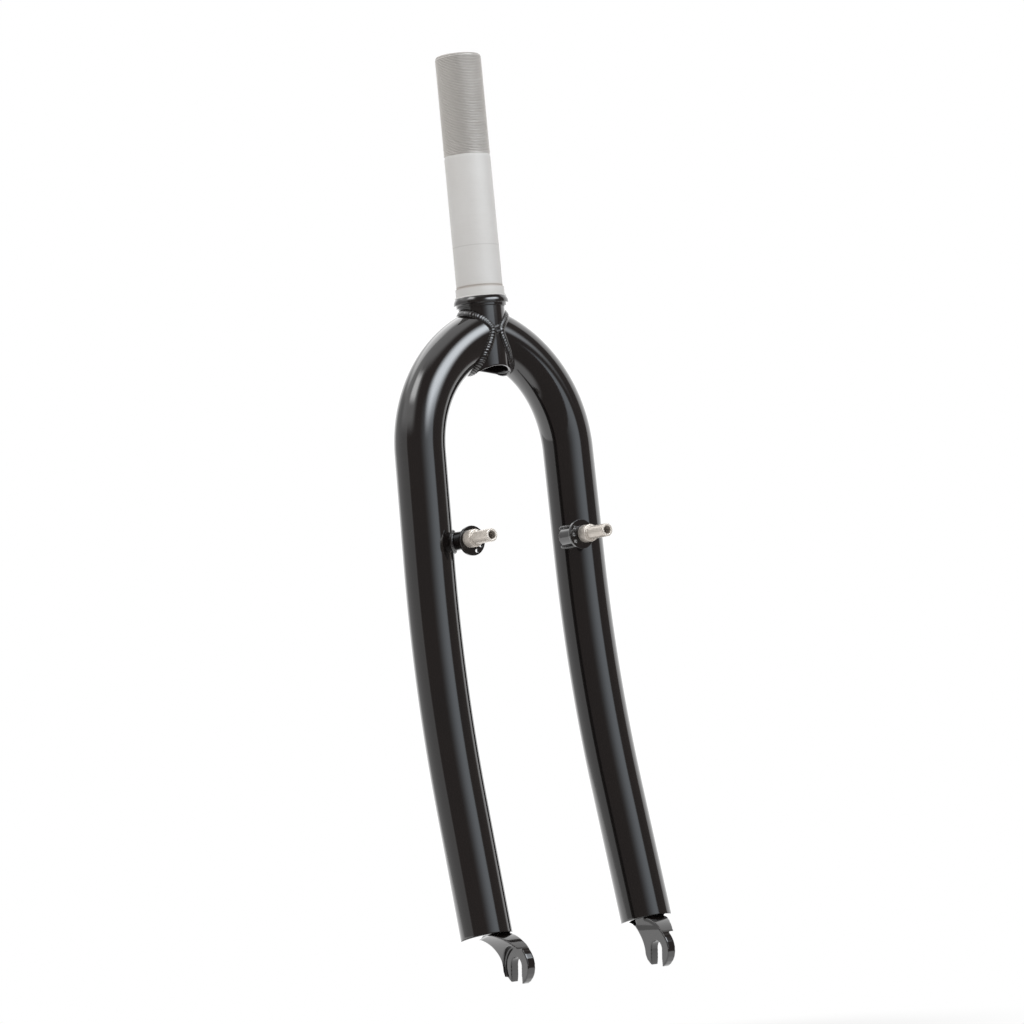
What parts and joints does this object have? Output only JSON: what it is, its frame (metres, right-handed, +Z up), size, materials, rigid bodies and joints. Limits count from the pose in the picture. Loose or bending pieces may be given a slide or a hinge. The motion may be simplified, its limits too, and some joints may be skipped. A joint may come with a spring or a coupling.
{
  "type": "bicycle fork",
  "caption": "Rigid steel unicrown fork with a threaded bare steerer, gloss black curved blades, screwed cantilever brake studs and slotted fork ends.",
  "frame": {"origin": "on the steerer axis at the shoulder that the crown race rests on", "axes": "+Z up the steerer, +Y forward towards the axle, +X to the rider's right"},
  "size_m": [0.1524, 0.0773, 0.5685],
  "materials": {
    "bare_steel": "bead blasted, matt light grey",
    "black_paint": "gloss black paint",
    "stud_steel": "satin steel, slightly warm"
  },
  "bodies": {
    "root": {"steerer_tube": "bare_steel", "crown_race_seat": "black_paint", "right_blade": "black_paint", "left_blade": "black_paint", "right_crown_weld": "black_paint", "left_crown_weld": "black_paint", "right_boss": "black_paint", "left_boss": "black_paint", "right_boss_weld": "black_paint", "left_boss_weld": "black_paint", "right_stud": "stud_steel", "left_stud": "stud_steel", "right_fork_end": "black_paint", "left_fork_end": "black_paint"}
  },
  "joints": []
}
